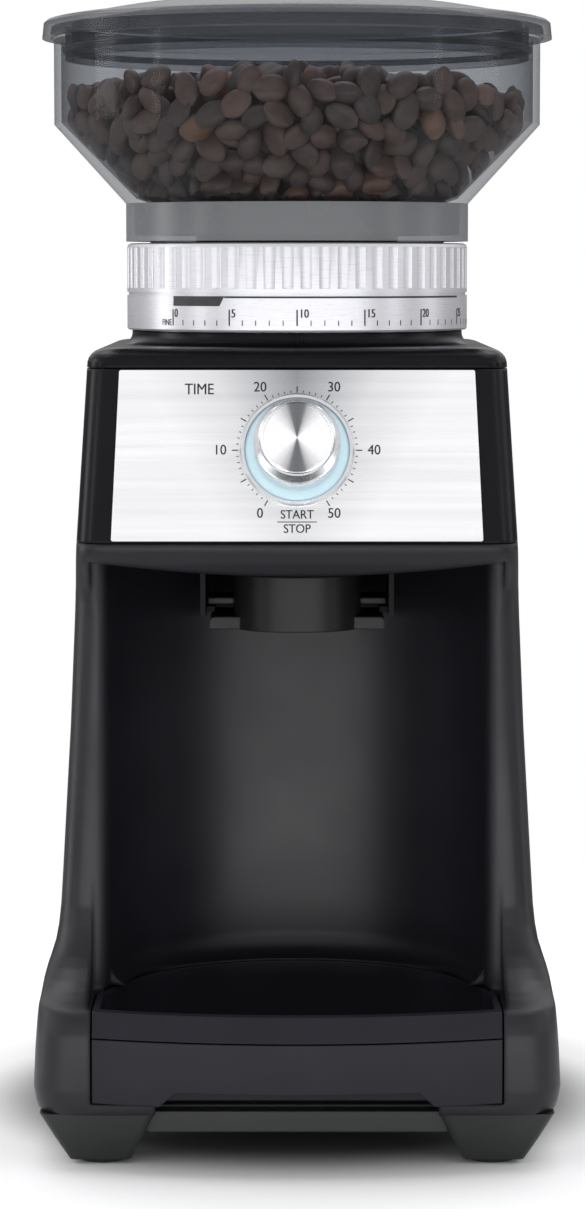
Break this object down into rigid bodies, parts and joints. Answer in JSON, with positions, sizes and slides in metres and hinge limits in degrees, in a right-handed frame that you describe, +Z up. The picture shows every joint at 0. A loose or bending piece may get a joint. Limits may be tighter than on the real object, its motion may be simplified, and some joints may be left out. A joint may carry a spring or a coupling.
{
  "type": "burr coffee grinder",
  "caption": "Countertop burr coffee grinder with clear bean hopper, grind size ring, timer dial, outlet cradle and pull-out grounds tray.",
  "frame": {"origin": "middle of the bounding box, on the surface the grinder stands on", "axes": "+Z up; the front with the dial, outlet and tray faces -Y; +X is to the right seen from the front"},
  "size_m": [0.1572, 0.216, 0.345],
  "materials": {
    "body_plastic": "satin charcoal moulded plastic",
    "base_plastic": "satin dark grey moulded plastic",
    "smoke_clear": "smoke grey clear plastic",
    "neck_grey": "translucent grey plastic",
    "steel_panel": "brushed stainless sheet",
    "ring_silver": "satin silver",
    "chrome": "bright turned metal",
    "glow": "pale translucent light guide",
    "rubber": "soft rubber",
    "inner_plastic": "moulded structural plastic",
    "burr_steel": "hardened ground steel",
    "gear_nylon": "natural nylon",
    "machine_steel": "turned steel",
    "alloy": "die-cast alloy",
    "copper_iron": "laminations with copper windings",
    "board_green": "circuit board",
    "magnet": "ferrite"
  },
  "bodies": {
    "chassis": {"front_housing": "body_plastic", "rear_housing": "body_plastic", "head_shell": "body_plastic", "front_panel": "steel_panel", "top_cover": "body_plastic", "base_pan": "base_plastic", "foot_pads": "rubber", "base_screws": "machine_steel", "cord_inlet": "rubber", "dial_bezel": "chrome", "light_ring": "glow", "timer_encoder": "inner_plastic", "control_board": "board_green", "power_board": "board_green", "hopper_switch": "inner_plastic", "grinding_chamber": "inner_plastic", "grounds_chute": "inner_plastic", "shaft_seal": "rubber", "output_bearing": "machine_steel", "shaft_bush": "machine_steel", "cradle_rails": "body_plastic", "gearbox_plate": "alloy", "gearbox_case": "alloy", "gearbox_lower_case": "alloy", "gearbox_screws": "machine_steel", "motor_screws": "machine_steel", "idler_pin": "machine_steel", "motor_can": "machine_steel", "motor_end_cap": "inner_plastic", "motor_bearings": "machine_steel", "motor_magnets": "magnet", "motor_brushes": "magnet"},
    "hopper": {"hopper_bowl": "smoke_clear", "hopper_collar": "neck_grey"},
    "lid": {"hopper_lid": "smoke_clear", "lid_seal": "rubber"},
    "ring": {"grind_ring": "ring_silver"},
    "carrier": {"burr_carrier": "inner_plastic", "upper_burr": "burr_steel", "lift_handle": "machine_steel", "handle_ears": "inner_plastic"},
    "button": {"encoder_plunger": "inner_plastic"},
    "dial": {"timer_knob": "chrome", "knob_cap": "chrome", "encoder_shaft": "machine_steel"},
    "tray": {"tray_body": "body_plastic", "tray_front": "body_plastic"},
    "cradle": {"cradle": "body_plastic"},
    "burr_drive": {"main_shaft": "machine_steel", "output_gear": "gear_nylon", "lower_burr": "burr_steel", "burr_nut": "machine_steel", "impeller": "inner_plastic"},
    "idler": {"idler_gear": "gear_nylon"},
    "rotor": {"motor_shaft": "machine_steel", "motor_armature": "copper_iron", "motor_pinion": "machine_steel"}
  },
  "joints": [
    {"name": "burr_spin", "type": "hinge", "parent": "chassis", "child": "burr_drive", "pos_m": [0, 0, 0.2], "axis": [0, 0, 1], "continuous": true},
    {"name": "idler_spin", "type": "hinge", "parent": "chassis", "child": "idler", "pos_m": [0.0176, 0.03024, 0.17], "axis": [0, 0, 1], "continuous": true},
    {"name": "motor_spin", "type": "hinge", "parent": "chassis", "child": "rotor", "pos_m": [0, 0.052, 0.12], "axis": [0, 0, 1], "continuous": true},
    {"name": "hopper_twist", "type": "hinge", "parent": "chassis", "child": "hopper", "pos_m": [0, 0, 0.27], "axis": [0, 0, 1], "range_deg": [0, 40]},
    {"name": "lid_lift", "type": "slide", "parent": "hopper", "child": "lid", "axis": [0, 0, 1], "range_m": [0, 0.08]},
    {"name": "grind_adjust", "type": "hinge", "parent": "chassis", "child": "ring", "pos_m": [0, 0, 0.255], "axis": [0, 0, 1], "range_deg": [-225, 45]},
    {"name": "burr_lift", "type": "slide", "parent": "chassis", "child": "carrier", "axis": [0, 0, 1], "range_m": [-0.0003, 0.0013]},
    {"name": "start_push", "type": "slide", "parent": "chassis", "child": "button", "axis": [0, 0.973, -0.2309], "range_m": [0, 0.0015], "stiffness_N_per_m": 800, "springref_m": -0.0008},
    {"name": "timer_turn", "type": "hinge", "parent": "button", "child": "dial", "pos_m": [0, -0.06913, 0.208], "axis": [0, -0.973, 0.2309], "range_deg": [-150, 150]},
    {"name": "tray_slide", "type": "slide", "parent": "chassis", "child": "tray", "axis": [0, -1, 0], "range_m": [0, 0.11]},
    {"name": "cradle_slide", "type": "slide", "parent": "chassis", "child": "cradle", "axis": [0, -1, 0], "range_m": [0, 0.05]}
  ],
  "couplings": [
    {"joint": "idler_spin", "follows": "burr_spin", "ratio": -4},
    {"joint": "motor_spin", "follows": "burr_spin", "ratio": 16},
    {"joint": "burr_lift", "follows": "grind_adjust", "m_per_rad": -0.00031831}
  ]
}
